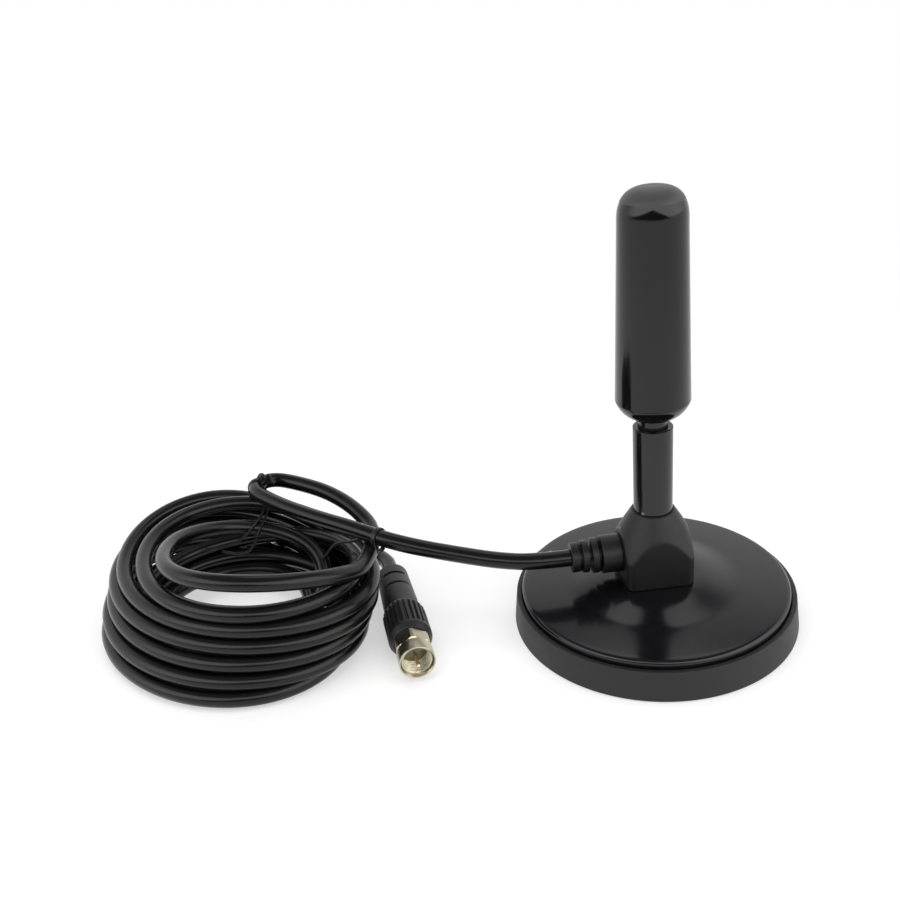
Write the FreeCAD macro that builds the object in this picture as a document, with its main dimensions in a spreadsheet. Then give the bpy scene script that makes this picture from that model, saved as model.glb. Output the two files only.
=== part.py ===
import FreeCAD, Part
import math
import os
import re

import Sketcher

# A small TV antenna on a round magnetic base, with its coaxial lead tied in a coil beside it.
# The origin is the centre of the base's underside, +Z runs up the mast, and the lead leaves along -X.

# Driving dimensions: millimetres, and degrees for angles
SIZES = {
    # Base
    "boot_foot_wall": 2.55,
    "boot_top_wall": 1.55,
    "boot_height": 9.4,
    "boot_floor": 2.0,
    "boot_edge_round": 0.35,
    "dish_diameter": 81.8,
    "dish_gap": 0.15,
    "dish_wall": 1.2,
    "dish_rim_height": 11.7,
    "dish_bead_round": 1.4,
    "dish_crown_height": 14.9,
    "dish_seat_diameter": 17.0,
    "pad_diameter": 66.0,
    "pad_gap": 0.2,
    "magnet_diameter": 60.0,
    "magnet_bore": 24.0,
    "magnet_height": 8.0,
    # Foot block and its screws
    "block_width": 20.6,
    "block_height": 22.6,
    "block_corner_round": 2.5,
    "block_top_diameter": 12.7,
    "block_cone_angle": 27.0,
    "block_cone_radius": 80.0,
    "screw_diameter": 2.9,
    "screw_length": 10.0,
    "screw_head_diameter": 5.6,
    "screw_head_height": 2.0,
    "screw_pitch": 11.0,
    "screw_gap": 0.1,
    # Strain relief
    "relief_height": 23.2,
    "relief_spigot_diameter": 8.0,
    "relief_spigot_length": 4.0,
    "relief_fit": 0.05,
    "relief_collar_diameter": 11.7,
    "relief_collar_length": 6.2,
    "relief_slot": 0.9,
    "relief_ring": 2.0,
    "relief_taper": 0.42,
    "relief_core_diameter": 6.8,
    "relief_bridge": 2.6,
    # Stem and head
    "stem_diameter": 11.6,
    "stem_wall": 1.5,
    "stem_length": 33.4,
    "stem_seat": 6.5,
    "stem_fit": 0.05,
    "neck_fit": 0.05,
    "neck_depth": 8.0,
    "head_lift": 3.5,
    "head_cap": 5.0,
    "head_cap_foot_diameter": 12.6,
    "head_cap_round": 7.0,
    "head_seam_step": 0.1,
    "head_foot_diameter": 21.5,
    "head_top_diameter": 19.3,
    "head_length": 64.9,
    "head_wall": 1.3,
    "head_crown_radius": 14.5,
    "head_shoulder_round": 4.0,
    "plug_spigot": 5.0,
    "plug_fit": 0.1,
    "board_width": 14.0,
    "board_thickness": 1.0,
    "board_length": 46.0,
    "board_seat": 3.0,
    "board_fit": 0.1,
    # Cable
    "cable_diameter": 5.2,
    "core_diameter": 3.0,
    "core_passage": 4.2,
    "core_bend": 4.5,
    "coil_x": -132.6,
    "coil_y": 20.8,
    "coil_diameter": 88.0,
    "coil_wall": 9.0,
    "coil_height": 28.4,
    "loop_x": -116.7,
    "loop_y": 15.0,
    "loop_z": 30.2,
    "loop_diameter": 60.4,
    "loop_tilt_x": 0.127,
    "loop_tilt_y": 0.242,
    "tie_strip": 1.6,
    "tie_thickness": 0.6,
    "tie_width": 6.4,
    "tie_height": 10.8,
    # Plug, measured along its axis from the rear of its boot
    "plug_x": -81.9,
    "plug_y": 27.2,
    "plug_turn": 7.75,
    "boot_rear_diameter": 10.4,
    "boot_waist_diameter": 11.5,
    "boot_rear_round": 0.8,
    "boot_slot": 1.0,
    "boot_slot_first": 5.2,
    "boot_slot_pitch": 6.3,
    "boot_slot_floor": 3.7,
    "grip_start": 20.6,
    "grip_ramp": 2.4,
    "grip_diameter": 13.6,
    "grip_collar_start": 33.6,
    "grip_end": 36.4,
    "boot_length": 38.2,
    "boot_nose_diameter": 11.4,
    "rib_count": 24,
    "rib_groove": 0.9,
    "rib_depth": 0.85,
    "post_diameter": 6.8,
    "post_flange_diameter": 8.6,
    "post_flange": 1.25,
    "post_depth": 12.2,
    "post_fit": 0.02,
    "nut_end_gap": 0.15,
    "nut_running_gap": 0.05,
    "nut_lip": 1.85,
    "nut_length": 10.05,
    "nut_hex_length": 4.9,
    "nut_across_flats": 10.2,
    "nut_corner_diameter": 11.3,
    "nut_collar_diameter": 11.0,
    "nut_bore": 9.1,
    "nut_edge": 0.3,
    "dielectric_diameter": 4.6,
    "dielectric_fit": 0.02,
    "pin_diameter": 0.81,
    "pin_reach": 9.0,
    "pin_point": 0.4,
}

# Places that several pieces share, as expressions of the driving dimensions
BLOCK_TOP = "(dish_crown_height + block_height)"
STEM_FOOT = "(%s - stem_seat)" % BLOCK_TOP
STEM_TOP = "(%s + stem_length)" % STEM_FOOT
STEM_BORE = "(stem_diameter / 2 - stem_wall)"
HEAD_FOOT = "(%s + head_lift)" % STEM_TOP
COVER_FOOT = "(%s + head_cap)" % HEAD_FOOT
HEAD_TOP = "(%s + head_length)" % HEAD_FOOT
PLUG_TOP = "(%s + plug_spigot)" % COVER_FOOT
BOARD_FOOT = "(%s - board_seat)" % PLUG_TOP
RELIEF_LENGTH = "(relief_collar_length + 3 * relief_slot + 3 * relief_ring + 0.4)"
POST_BACK = "(boot_length - post_depth)"
NUT_BACK = "(boot_length + nut_end_gap)"
FLANGE_BACK = "(%s + nut_lip + nut_end_gap)" % NUT_BACK
FLANGE_FRONT = "(%s + post_flange)" % FLANGE_BACK

doc = FreeCAD.newDocument("tv_antenna")
sheet = doc.addObject("Spreadsheet::Sheet", "sizes")
for row, (name, amount) in enumerate(SIZES.items(), 1):
    sheet.set("A%d" % row, name)
    sheet.set("B%d" % row, str(amount))
    sheet.setAlias("B%d" % row, name)
doc.recompute()
size_names = re.compile(r"\b(" + "|".join(SIZES) + r")\b")
sub_parts = []


def bound(text):
    """The expression with every size's name led by its sheet"""
    return size_names.sub(r"sizes.\1", text)


def number(text):
    """The present value of an expression of sizes"""
    return float(sheet.evalExpression(bound(text)))


def keep(item, label):
    """Name a finished sub-part and put it on the list that is written out"""
    item.Label = label
    sub_parts.append(item)
    return item


def new_body(label):
    return keep(doc.addObject("PartDesign::Body", label), label)


def place(item, x="0", y="0", z="0", rotation=None):
    """Seat an item by expressions, after turning it"""
    item.Placement = FreeCAD.Placement(FreeCAD.Vector(), rotation or FreeCAD.Rotation())
    for axis, text in zip("xyz", (x, y, z)):
        item.setExpression("Placement.Base." + axis, bound(text))


def new_sketch(body, role, offset="0"):
    """A sketch on one of the body's own planes, moved along the plane's normal"""
    sketch = body.newObject("Sketcher::SketchObject", body.Name + "_sketch")
    support = [f for f in body.Origin.OriginFeatures if f.Role == role][0]
    sketch.AttachmentSupport = [(support, "")]
    sketch.MapMode = "FlatFace"
    sketch.setExpression("AttachmentOffset.Base.z", bound(offset))
    return sketch


def pin_point(sketch, side, point, x, y):
    """Hold a point of a side at the place that two expressions give"""
    for kind, axis, text in (("DistanceX", -2, x), ("DistanceY", -1, y)):
        amount = number(text)
        if abs(amount) < 1e-9:
            sketch.addConstraint(Sketcher.Constraint("PointOnObject", side, point, axis))
            continue
        ends = (-1, 1, side, point) if amount > 0 else (side, point, -1, 1)
        index = sketch.addConstraint(Sketcher.Constraint(kind, *ends, abs(amount)))
        signed = text if amount > 0 else "-(%s)" % text
        sketch.setExpression("Constraints[%d]" % index, bound(signed))


def arc_side(start, end, radius, sense):
    """An arc from start to end, turning left for sense 1 and right for sense -1"""
    chord = end - start
    across = FreeCAD.Vector(-chord.y, chord.x, 0) * (sense / chord.Length)
    centre = (start + end) * 0.5 + across * math.sqrt(radius ** 2 - (chord.Length / 2) ** 2)
    first, last = (start, end) if sense > 0 else (end, start)
    angles = [math.atan2((p - centre).y, (p - centre).x) for p in (first, last)]
    if angles[1] < angles[0]:
        angles[1] += 2 * math.pi
    circle = Part.Circle(centre, FreeCAD.Vector(0, 0, 1), radius)
    return Part.ArcOfCircle(circle, *angles)


def outline(sketch, corners, arcs=None):
    """A closed run of lines through the corners, with arcs on the numbered sides"""
    arcs = arcs or {}
    points = [FreeCAD.Vector(number(x), number(y), 0) for x, y in corners]
    sides = []
    for n, start in enumerate(points):
        end = points[(n + 1) % len(points)]
        if n in arcs:
            radius, sense = arcs[n]
            side = sketch.addGeometry(arc_side(start, end, number(radius), sense))
            sides.append((side, 1 if sense > 0 else 2, 2 if sense > 0 else 1))
        else:
            sides.append((sketch.addGeometry(Part.LineSegment(start, end)), 1, 2))
    for n, (side, first, last) in enumerate(sides):
        following = sides[(n + 1) % len(sides)]
        sketch.addConstraint(Sketcher.Constraint("Coincident", side, last, following[0], following[1]))
    for (side, first, last), (x, y) in zip(sides, corners):
        pin_point(sketch, side, first, x, y)
    for n, (radius, sense) in arcs.items():
        index = sketch.addConstraint(Sketcher.Constraint("Radius", sides[n][0], number(radius)))
        sketch.setExpression("Constraints[%d]" % index, bound(radius))


def rectangle(sketch, left, right, bottom, top):
    outline(sketch, [(left, bottom), (right, bottom), (right, top), (left, top)])


def circle(sketch, x, y, diameter):
    """A full circle whose centre and diameter are held by expressions"""
    centre = FreeCAD.Vector(number(x), number(y), 0)
    geometry = Part.Circle(centre, FreeCAD.Vector(0, 0, 1), number(diameter) / 2)
    side = sketch.addGeometry(geometry)
    pin_point(sketch, side, 3, x, y)
    index = sketch.addConstraint(Sketcher.Constraint("Diameter", side, number(diameter)))
    sketch.setExpression("Constraints[%d]" % index, bound(diameter))


def feature(body, kind, sketch):
    item = body.newObject("PartDesign::" + kind, body.Name + "_" + kind.lower())
    item.Profile = sketch
    return item


def turn(body, corners, arcs=None, kind="Revolution"):
    """Turn a profile of radius and height about the body's own Z axis"""
    sketch = new_sketch(body, "XZ_Plane")
    outline(sketch, corners, arcs)
    item = feature(body, kind, sketch)
    item.ReferenceAxis = (sketch, ["V_Axis"])
    item.Angle = 360
    doc.recompute()
    return item


def cut(body, sketch, length=None, reverse=False, both=False):
    """A pocket from the sketch, checked to have taken something away"""
    before = body.Shape.Volume
    item = feature(body, "Pocket", sketch)
    if length is None:
        item.Type = 1
    else:
        item.setExpression("Length", bound(length))
    item.Reversed = reverse
    item.Midplane = both
    doc.recompute()
    if body.Shape.Volume > before - 1e-3:
        raise RuntimeError("a pocket of %s cuts nothing" % body.Label)
    return item


def pad(body, sketch, length, both=False):
    item = feature(body, "Pad", sketch)
    item.setExpression("Length", bound(length))
    item.Midplane = both
    doc.recompute()
    return item


def around(body, item, count):
    """Repeat a feature evenly round the body's Z axis"""
    pattern = body.newObject("PartDesign::PolarPattern", body.Name + "_pattern")
    pattern.Originals = [item]
    pattern.Axis = ([f for f in body.Origin.OriginFeatures if f.Role == "Z_Axis"][0], [""])
    pattern.Angle = 360
    pattern.setExpression("Occurrences", bound(count))
    body.Tip = pattern
    doc.recompute()


def soften(body, wanted, amount, kind="Fillet"):
    """Round or bevel the edges that a test picks"""
    base = body.Tip
    names = ["Edge%d" % n for n, edge in enumerate(base.Shape.Edges, 1) if wanted(edge)]
    item = body.newObject("PartDesign::" + kind, body.Name + "_" + kind.lower())
    item.Base = (base, names)
    item.setExpression("Radius" if kind == "Fillet" else "Size", bound(amount))
    doc.recompute()


def ring_edge(radius, height):
    """A test for the full circle of one radius at one height of a turned body"""
    wanted = number(radius), number(height)

    def test(edge):
        if edge.Degenerated or not isinstance(edge.Curve, Part.Circle) or not edge.Closed:
            return False
        found = edge.Curve.Radius, edge.Curve.Center.z
        return all(abs(a - b) < 1e-4 for a, b in zip(found, wanted))
    return test


# Base: rubber boot, foam pad, ring magnet and pressed dish
boot = new_body("base_boot")
boot_bore = "(dish_diameter / 2 + dish_gap)"
boot_foot = "(%s + boot_foot_wall)" % boot_bore
boot_top = "(%s + boot_top_wall)" % boot_bore
pad_seat = "(pad_diameter / 2 + pad_gap)"
turn(boot, [
    (pad_seat, "0"),
    (boot_foot, "0"),
    (boot_top, "boot_height"),
    (boot_bore, "boot_height"),
    (boot_bore, "boot_floor"),
    (pad_seat, "boot_floor"),
])
boot_top_edge = ring_edge(boot_top, "boot_height")
boot_foot_edge = ring_edge(boot_foot, "0")
soften(boot, lambda edge: boot_top_edge(edge) or boot_foot_edge(edge), "boot_edge_round")

foam = new_body("base_pad")
turn(foam, [
    ("0", "0"),
    ("pad_diameter / 2", "0"),
    ("pad_diameter / 2", "boot_floor"),
    ("0", "boot_floor"),
])

magnet = new_body("ring_magnet")
turn(magnet, [
    ("magnet_bore / 2", "boot_floor"),
    ("magnet_diameter / 2", "boot_floor"),
    ("magnet_diameter / 2", "boot_floor + magnet_height"),
    ("magnet_bore / 2", "boot_floor + magnet_height"),
])

# The dome is an arc that leaves the flat seat level and drops to the rim
dish = new_body("base_dish")
rim_drop = "(dish_crown_height - dish_rim_height)"
dome_run = "(dish_diameter / 2 - dish_seat_diameter / 2)"
inner_run = "(dish_diameter / 2 - dish_wall - dish_seat_diameter / 2)"
dome_radius = "({0}^2 + {1}^2) / (2 * {1})"
turn(dish, [
    ("dish_diameter / 2 - dish_wall", "boot_floor"),
    ("dish_diameter / 2", "boot_floor"),
    ("dish_diameter / 2", "dish_rim_height"),
    ("dish_seat_diameter / 2", "dish_crown_height"),
    ("0", "dish_crown_height"),
    ("0", "dish_crown_height - dish_wall"),
    ("dish_seat_diameter / 2", "dish_crown_height - dish_wall"),
    ("dish_diameter / 2 - dish_wall", "dish_rim_height - dish_wall"),
], {2: (dome_radius.format(dome_run, rim_drop), 1), 6: (dome_radius.format(inner_run, rim_drop), -1)})
soften(dish, ring_edge("dish_diameter / 2", "dish_rim_height"), "dish_bead_round")
screw_holes = new_sketch(dish, "XY_Plane")
for side in ("screw_pitch / 2", "-screw_pitch / 2"):
    circle(screw_holes, "0", side, "screw_diameter + 2 * screw_gap")
cut(dish, screw_holes, reverse=True)

# Foot block: a rounded square whose top is cut to a cone, so that each face ends in an arch
block = new_body("foot_block")
place(block, z="dish_crown_height")
plan = new_sketch(block, "XY_Plane")
rectangle(plan, "-block_width / 2", "block_width / 2", "-block_width / 2", "block_width / 2")
pad(block, plan, "block_height")
soften(block, lambda edge: abs(edge.tangentAt(edge.FirstParameter).z) > 0.99, "block_corner_round")
cone_reach = "(block_width * 0.72)"
cone_drop = "((%s - block_top_diameter / 2) / tan(block_cone_angle * 1 deg))" % cone_reach
turn(block, [
    ("block_top_diameter / 2", "block_height"),
    (cone_reach, "block_height - %s" % cone_drop),
    (cone_reach, "block_height"),
], {0: ("block_cone_radius", -1)}, "Groove")
relief_axis = "(relief_height - dish_crown_height)"
turn(block, [
    ("0", "block_height"),
    ("stem_diameter / 2 + stem_fit", "block_height"),
    ("stem_diameter / 2 + stem_fit", "block_height - stem_seat"),
    ("core_passage / 2", "block_height - stem_seat"),
    ("core_passage / 2", "%s - core_passage / 2" % relief_axis),
    ("0", "%s - core_passage / 2" % relief_axis),
], kind="Groove")
passage = new_sketch(block, "YZ_Plane")
circle(passage, "0", relief_axis, "core_passage")
cut(block, passage)
spigot_bore = new_sketch(block, "YZ_Plane", "-block_width / 2")
circle(spigot_bore, "0", relief_axis, "relief_spigot_diameter + 2 * relief_fit")
cut(block, spigot_bore, "relief_spigot_length + relief_fit", reverse=True)
pilots = new_sketch(block, "XY_Plane")
for side in ("screw_pitch / 2", "-screw_pitch / 2"):
    circle(pilots, "0", side, "screw_diameter + 2 * screw_gap")
cut(block, pilots, "screw_length - dish_wall + 1", reverse=True)


def screw(name, side):
    """A pan-head screw from below, as a head and a shank"""
    head = doc.addObject("Part::Cylinder", name + "_head")
    head.setExpression("Radius", bound("screw_head_diameter / 2"))
    head.setExpression("Height", bound("screw_head_height"))
    place(head, y=side, z="dish_crown_height - dish_wall - screw_head_height")
    shank = doc.addObject("Part::Cylinder", name + "_shank")
    shank.setExpression("Radius", bound("screw_diameter / 2"))
    shank.setExpression("Height", bound("screw_length"))
    place(shank, y=side, z="dish_crown_height - dish_wall")
    joined = doc.addObject("Part::Fuse", name)
    joined.Base = head
    joined.Tool = shank
    return joined


screws = keep(doc.addObject("Part::Compound", "block_screws"), "block_screws")
screws.Links = [screw("screw_back", "screw_pitch / 2"), screw("screw_front", "-screw_pitch / 2")]

# Strain relief: a collar and three rings, joined by bridges that alternate between two planes
relief = new_body("strain_relief")
place(relief, "-block_width / 2", "0", "relief_height", FreeCAD.Rotation(FreeCAD.Vector(0, 1, 0), -90))
cable_bore = "(cable_diameter / 2 + relief_fit)"
core = "relief_core_diameter / 2"
corners = [
    (cable_bore, "-relief_spigot_length"),
    ("relief_spigot_diameter / 2", "-relief_spigot_length"),
    ("relief_spigot_diameter / 2", "0"),
    ("relief_collar_diameter / 2", "0"),
    ("relief_collar_diameter / 2", "relief_collar_length"),
]
slots = []
for n in range(3):
    slot_start = "(relief_collar_length + %d * (relief_slot + relief_ring))" % n
    slot_end = "(%s + relief_slot)" % slot_start
    ring_end = "(%s + relief_ring)" % slot_end if n < 2 else RELIEF_LENGTH
    ring_radius = "(relief_collar_diameter / 2 - %d * relief_taper)" % (n + 1)
    slots.append((slot_start, slot_end, ring_radius))
    corners += [(core, slot_start), (core, slot_end), (ring_radius, slot_end), (ring_radius, ring_end)]
corners.append((cable_bore, RELIEF_LENGTH))
turn(relief, corners)
for plane, numbers in (("XZ_Plane", (0, 2)), ("YZ_Plane", (1,))):
    bridges = new_sketch(relief, plane)
    for n in numbers:
        slot_start, slot_end, ring_radius = slots[n]
        for sign in ("", "-"):
            near = "%s(%s - 0.3)" % (sign, core)
            far = "%s(%s - 0.3)" % (sign, ring_radius)
            rectangle(bridges, near, far, slot_start + " - 0.2", slot_end + " + 0.2")
    pad(relief, bridges, "relief_bridge", both=True)

# Stem, and the head: a plug whose underside is a dome, and a drafted cover with a crowned top
stem = new_body("stem_tube")
turn(stem, [
    (STEM_BORE, STEM_FOOT),
    ("stem_diameter / 2", STEM_FOOT),
    ("stem_diameter / 2", STEM_TOP),
    (STEM_BORE, STEM_TOP),
])

plug = new_body("head_plug")
neck = "(%s - neck_fit)" % STEM_BORE
plug_radius = "(head_foot_diameter / 2 - head_wall - plug_fit)"
turn(plug, [
    ("core_passage / 2", "%s - neck_depth" % STEM_TOP),
    (neck, "%s - neck_depth" % STEM_TOP),
    (neck, HEAD_FOOT),
    ("head_cap_foot_diameter / 2", HEAD_FOOT),
    ("head_foot_diameter / 2 - head_seam_step", COVER_FOOT),
    (plug_radius, COVER_FOOT),
    ("%s - plug_fit" % plug_radius, PLUG_TOP),
    ("core_passage / 2", PLUG_TOP),
], {3: ("head_cap_round", 1)})
board_slot = new_sketch(plug, "XY_Plane", PLUG_TOP)
slot_x = "(board_width / 2 + board_fit)"
slot_y = "(board_thickness / 2 + board_fit)"
rectangle(board_slot, "-" + slot_x, slot_x, "-" + slot_y, slot_y)
cut(plug, board_slot, "board_seat")

cover = new_body("head_cover")
crown_edge = "(%s - head_crown_radius + sqrt(head_crown_radius^2 - (head_top_diameter / 2)^2))" % HEAD_TOP
inner_top = "(head_top_diameter / 2 - head_wall)"
inner_crown = "(head_crown_radius - head_wall)"
inner_edge = "(%s - head_crown_radius + sqrt(%s^2 - %s^2))" % (HEAD_TOP, inner_crown, inner_top)
turn(cover, [
    ("head_foot_diameter / 2 - head_wall", COVER_FOOT),
    ("head_foot_diameter / 2", COVER_FOOT),
    ("head_top_diameter / 2", crown_edge),
    ("0", HEAD_TOP),
    ("0", "%s - head_wall" % HEAD_TOP),
    (inner_top, inner_edge),
], {2: ("head_crown_radius", 1), 4: (inner_crown, -1)})
soften(cover, ring_edge("head_top_diameter / 2", crown_edge), "head_shoulder_round")

board = keep(doc.addObject("Part::Box", "radiator_board"), "radiator_board")
board.setExpression("Length", bound("board_width"))
board.setExpression("Width", bound("board_thickness"))
board.setExpression("Height", bound("board_length"))
place(board, "-board_width / 2", "-board_thickness / 2", BOARD_FOOT)


# Cable: straight runs joined by tangent arcs, each as large as its two runs allow
arc_share = 0.45


def cable_path(points):
    """A wire along the points, with its length; prints the radius at each corner"""
    corners = [FreeCAD.Vector(*p) for p in points]
    edges = []
    radii = []
    here = corners[0]
    for before, at, after in zip(corners, corners[1:], corners[2:]):
        coming = (at - before).normalize()
        going = (after - at).normalize()
        half_turn = coming.getAngle(going) / 2
        reach = arc_share * min((at - before).Length, (after - at).Length)
        radius = reach / math.tan(half_turn)
        radii.append(radius)
        start = at - coming * reach
        end = at + going * reach
        inward = (going - coming).normalize()
        middle = at + inward * (radius / math.cos(half_turn) - radius)
        edges.append(Part.LineSegment(here, start).toShape())
        edges.append(Part.Arc(start, middle, end).toShape())
        here = end
    edges.append(Part.LineSegment(here, corners[-1]).toShape())
    return Part.Wire(edges), radii


def tube(label, points, diameter):
    """A round tube along the points, with its volume compared with section times length"""
    path, radii = cable_path(points)
    start = path.Edges[0]
    section = Part.Circle(start.valueAt(0), start.tangentAt(0), diameter / 2).toShape()
    solid = path.makePipeShell([Part.Wire([section])], True, True)
    expected = math.pi * diameter ** 2 / 4 * path.Length
    print("%s: length %.1f, volume %.1f of %.1f" % (label, path.Length, solid.Volume, expected))
    print("  radii " + " ".join("%.1f" % r for r in radii))
    return solid


# The cable's end inside the antenna: jacket through the relief, then the bare core up to the board
relief_end = -number("block_width / 2 + " + RELIEF_LENGTH)
jacket_end = -number("block_width / 2 - relief_spigot_length")
relief_z = number("relief_height")
core_bend = number("core_bend")
jacket = Part.makeCylinder(
    number("cable_diameter / 2"),
    jacket_end - relief_end,
    FreeCAD.Vector(relief_end, 0, relief_z),
    FreeCAD.Vector(1, 0, 0),
)
core_run = Part.LineSegment(
    FreeCAD.Vector(jacket_end, 0, relief_z), FreeCAD.Vector(-core_bend, 0, relief_z)
).toShape()
bend_offset = core_bend * math.sqrt(0.5)
core_turn = Part.Arc(
    FreeCAD.Vector(-core_bend, 0, relief_z),
    FreeCAD.Vector(-core_bend + bend_offset, 0, relief_z + core_bend - bend_offset),
    FreeCAD.Vector(0, 0, relief_z + core_bend),
).toShape()
core_rise = Part.LineSegment(
    FreeCAD.Vector(0, 0, relief_z + core_bend), FreeCAD.Vector(0, 0, number(BOARD_FOOT))
).toShape()
core_circle = Part.Circle(
    FreeCAD.Vector(jacket_end, 0, relief_z), FreeCAD.Vector(1, 0, 0), number("core_diameter / 2")
).toShape()
core_path = Part.Wire([core_run, core_turn, core_rise])
core_tube = core_path.makePipeShell([Part.Wire([core_circle])], True, True)
feed = keep(doc.addObject("Part::Feature", "feed_coax"), "feed_coax")
feed.Shape = jacket.fuse(core_tube).removeSplitter()

# The free lead: out of the relief, over the coil's right side, back from the fold and down into the turns
lead_route = [
    (relief_end, 0.0, relief_z),
    (relief_end - 11.0, 0.3, relief_z - 0.3),
    (-47.5, 3.2, 23.4),
    (-60.0, 7.2, 25.0),
    (-72.0, 10.0, 27.6),
    (-82.0, 13.0, 30.4),
    (-91.5, 19.5, 32.0),
    (-101.5, 27.5, 32.6),
    (-112.0, 36.0, 32.6),
    (-121.3, 44.6, 32.7),
    (-127.0, 52.2, 32.6),
    (-126.8, 60.0, 32.5),
    (-120.4, 63.8, 32.4),
    (-111.0, 59.0, 32.3),
    (-101.0, 50.5, 31.8),
    (-91.8, 38.5, 29.8),
    (-86.2, 25.5, 27.8),
    (-86.2, 13.5, 26.4),
]
lead = keep(doc.addObject("Part::Feature", "cable_lead"), "cable_lead")
lead.Shape = tube("cable_lead", lead_route, number("cable_diameter"))

# The coil's outer form: a ring for the stacked turns and a tilted ring for the raised inner turn
stack_outer = doc.addObject("Part::Cylinder", "coil_outside")
stack_outer.setExpression("Radius", bound("coil_diameter / 2"))
stack_outer.setExpression("Height", bound("coil_height"))
place(stack_outer, "coil_x", "coil_y")
stack_inner = doc.addObject("Part::Cylinder", "coil_inside")
stack_inner.setExpression("Radius", bound("coil_diameter / 2 - coil_wall"))
stack_inner.setExpression("Height", bound("coil_height"))
place(stack_inner, "coil_x", "coil_y")
stack = doc.addObject("Part::Cut", "coil_stack")
stack.Base = stack_outer
stack.Tool = stack_inner
loop = doc.addObject("Part::Torus", "coil_loop")
loop.setExpression("Radius1", bound("loop_diameter / 2"))
loop.setExpression("Radius2", bound("cable_diameter / 2"))
loop_normal = FreeCAD.Vector(number("loop_tilt_x"), number("loop_tilt_y"), 1)
place(loop, "loop_x", "loop_y", "loop_z", FreeCAD.Rotation(FreeCAD.Vector(0, 0, 1), loop_normal))
coil = keep(doc.addObject("Part::Fuse", "cable_coil"), "cable_coil")
coil.Base = stack
coil.Tool = loop

# The tail: out of the coil's back right and straight into the rear of the plug
plug_turn = math.radians(number("plug_turn"))
plug_axis = FreeCAD.Vector(math.sin(plug_turn), -math.cos(plug_turn), 0)
plug_rear = FreeCAD.Vector(number("plug_x"), number("plug_y"), number("grip_diameter / 2"))
tail_route = [
    (-107.5, 57.5, 4.4),
    (-96.8, 52.4, 5.0),
    (-88.0, 44.6, 5.9),
    tuple(plug_rear - plug_axis * 9.0),
    tuple(plug_rear),
]
tail = keep(doc.addObject("Part::Feature", "cable_tail"), "cable_tail")
tail.Shape = tube("cable_tail", tail_route, number("cable_diameter"))


def band(centre, across, half_width, half_height):
    """An upright wire with straight sides and round ends"""
    rise = FreeCAD.Vector(0, 0, 1)
    left = across * -half_width
    right = across * half_width
    top = centre + rise * (half_height - half_width)
    bottom = centre - rise * (half_height - half_width)
    return Part.Wire([
        Part.LineSegment(bottom + left, top + left).toShape(),
        Part.Arc(top + left, top + rise * half_width, top + right).toShape(),
        Part.LineSegment(top + right, bottom + right).toShape(),
        Part.Arc(bottom + right, bottom - rise * half_width, bottom + left).toShape(),
    ])


def tie(label, at, heading):
    """A flat strip bent into an upright band, square to a heading in plan"""
    angle = math.radians(heading)
    along = FreeCAD.Vector(math.cos(angle), math.sin(angle), 0)
    across = FreeCAD.Vector(-math.sin(angle), math.cos(angle), 0)
    strip = number("tie_strip")
    thickness = number("tie_thickness")
    half_width = number("tie_width / 2")
    half_height = number("tie_height / 2")
    start = FreeCAD.Vector(*at) - along * (strip / 2)
    outside = band(start, across, half_width, half_height)
    inside = band(start, across, half_width - thickness, half_height - thickness)
    item = keep(doc.addObject("Part::Feature", label), label)
    solid = Part.Face(outside).extrude(along * strip)
    item.Shape = solid.cut(Part.Face(inside).extrude(along * strip))


tie("coil_tie_left", (-126.4, 56.5, 29.6), 90.0)
tie("coil_tie_right", (-83.6, 14.4, 28.6), 142.0)

# Plug: its pieces are turned about their own axis and laid down pointing forwards
lay_down = FreeCAD.Rotation(FreeCAD.Vector(0, 1, 0), -90)
aim = FreeCAD.Rotation(FreeCAD.Vector(0, 0, 1), 90 + number("plug_turn"))


def plug_piece(label):
    body = new_body(label)
    place(body, "plug_x", "plug_y", "grip_diameter / 2", aim.multiply(lay_down))
    return body


shroud = plug_piece("plug_boot")
post_socket = "(post_diameter / 2 + post_fit)"
turn(shroud, [
    ("0", "0"),
    ("boot_rear_diameter / 2", "0"),
    ("boot_waist_diameter / 2", "grip_start"),
    ("grip_diameter / 2", "grip_start + grip_ramp"),
    ("grip_diameter / 2", "grip_end"),
    ("boot_nose_diameter / 2", "boot_length"),
    (post_socket, "boot_length"),
    (post_socket, POST_BACK),
    ("0", POST_BACK),
])
soften(shroud, ring_edge("boot_rear_diameter / 2", "0"), "boot_rear_round")
notches = new_sketch(shroud, "XZ_Plane")
for n in range(2):
    notch = "(boot_slot_first + %d * boot_slot_pitch)" % n
    rectangle(notches, "boot_slot_floor", "grip_diameter", notch, notch + " + boot_slot")
    rectangle(notches, "-boot_slot_floor", "-grip_diameter", notch, notch + " + boot_slot")
cut(shroud, notches, "2 * grip_diameter", both=True)
groove = new_sketch(shroud, "XY_Plane", "grip_collar_start")
groove_floor = "(grip_diameter / 2 - rib_depth)"
rectangle(groove, groove_floor, "grip_diameter", "-rib_groove / 2", "rib_groove / 2")
around(shroud, cut(shroud, groove, "grip_collar_start - grip_start"), "rib_count")

post = plug_piece("plug_body")
dielectric_socket = "(dielectric_diameter / 2 + dielectric_fit)"
turn(post, [
    (dielectric_socket, POST_BACK),
    ("post_diameter / 2", POST_BACK),
    ("post_diameter / 2", FLANGE_BACK),
    ("post_flange_diameter / 2", FLANGE_BACK),
    ("post_flange_diameter / 2", FLANGE_FRONT),
    (dielectric_socket, FLANGE_FRONT),
])

white_core = plug_piece("plug_dielectric")
pin_socket = "(pin_diameter / 2 + dielectric_fit)"
turn(white_core, [
    (pin_socket, POST_BACK),
    ("dielectric_diameter / 2", POST_BACK),
    ("dielectric_diameter / 2", FLANGE_FRONT),
    (pin_socket, FLANGE_FRONT),
])

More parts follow.
